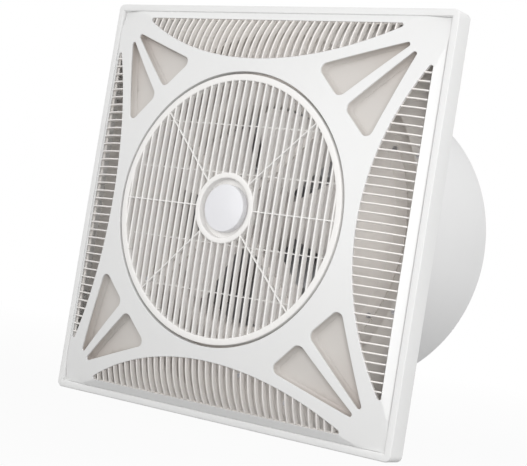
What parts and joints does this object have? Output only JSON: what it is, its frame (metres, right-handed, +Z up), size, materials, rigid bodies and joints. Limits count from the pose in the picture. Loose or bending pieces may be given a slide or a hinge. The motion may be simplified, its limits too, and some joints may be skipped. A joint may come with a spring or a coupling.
{
  "type": "exhaust fan",
  "caption": "Square ceiling exhaust fan with a domed front, turning slatted louver, slatted side inlets, and an impeller in a round steel drum.",
  "frame": {"origin": "on the fan axis in the plane of the square front's rear edge, centre of the corner bolt pattern", "axes": "-Y out of the front, +Y along the fan axis to the drum's rear end, +X to the right seen from the front, +Z up the panel"},
  "size_m": [0.595, 0.3549, 0.595],
  "materials": {
    "white_plastic": "satin",
    "tray_plastic": "matt",
    "grille_plastic": "satin",
    "carrier_plastic": "matt",
    "louver_plastic": "satin",
    "cap_plastic": "satin",
    "gear_can": "satin",
    "screw_steel": "bright",
    "shaft_steel": "ground",
    "zinc_sheet": "galvanized",
    "white_sheet": "satin",
    "ring_paint": "satin",
    "mount_rubber": "matt",
    "motor_alloy": "cast",
    "lamination": "matt",
    "copper_wire": "varnished",
    "blade_plastic": "satin",
    "bush_brass": "turned",
    "box_plastic": "fine texture",
    "block_plastic": "satin",
    "capacitor_can": "satin",
    "black_plastic": "matt"
  },
  "bodies": {
    "housing": {"outer_frame": "white_plastic", "face_panel": "white_plastic", "window_trays": "tray_plastic", "side_grille_right": "grille_plastic", "side_grille_left": "grille_plastic", "side_grille_top": "grille_plastic", "side_grille_bottom": "grille_plastic", "louver_carrier": "carrier_plastic", "gear_motor": "gear_can", "gear_motor_screws": "screw_steel", "carrier_screws": "screw_steel", "back_plate": "zinc_sheet", "back_plate_screws": "screw_steel", "pan": "white_sheet", "pan_screws": "screw_steel", "inlet_ring": "ring_paint", "inlet_ring_screws": "screw_steel", "drum": "white_sheet", "drum_screws": "screw_steel", "motor_bracket": "zinc_sheet", "rubber_mounts": "mount_rubber", "motor_screws": "screw_steel", "motor_front_shell": "motor_alloy", "motor_rear_shell": "motor_alloy", "shell_screws": "screw_steel", "stator": "lamination", "windings": "copper_wire", "bearings": "shaft_steel", "rear_guard": "white_sheet", "guard_clips": "zinc_sheet", "terminal_box": "box_plastic", "box_screws": "screw_steel", "terminal_lid": "box_plastic", "lid_screws": "screw_steel", "terminal_block": "block_plastic", "capacitor": "capacitor_can", "capacitor_clip": "zinc_sheet", "cable_gland": "black_plastic", "gland_nut": "black_plastic"},
    "louver": {"louver": "louver_plastic", "louver_shaft": "shaft_steel", "louver_screw": "screw_steel", "hub_cap": "cap_plastic"},
    "impeller": {"impeller": "blade_plastic", "hub_bush": "bush_brass", "impeller_nut": "screw_steel", "motor_shaft": "shaft_steel", "rotor": "lamination"}
  },
  "joints": [
    {"name": "louver_spin", "type": "hinge", "parent": "housing", "child": "louver", "pos_m": [0, -0.06, 0], "axis": [0, -1, 0], "continuous": true},
    {"name": "impeller_spin", "type": "hinge", "parent": "housing", "child": "impeller", "pos_m": [0, 0.02, 0], "axis": [0, -1, 0], "continuous": true}
  ]
}
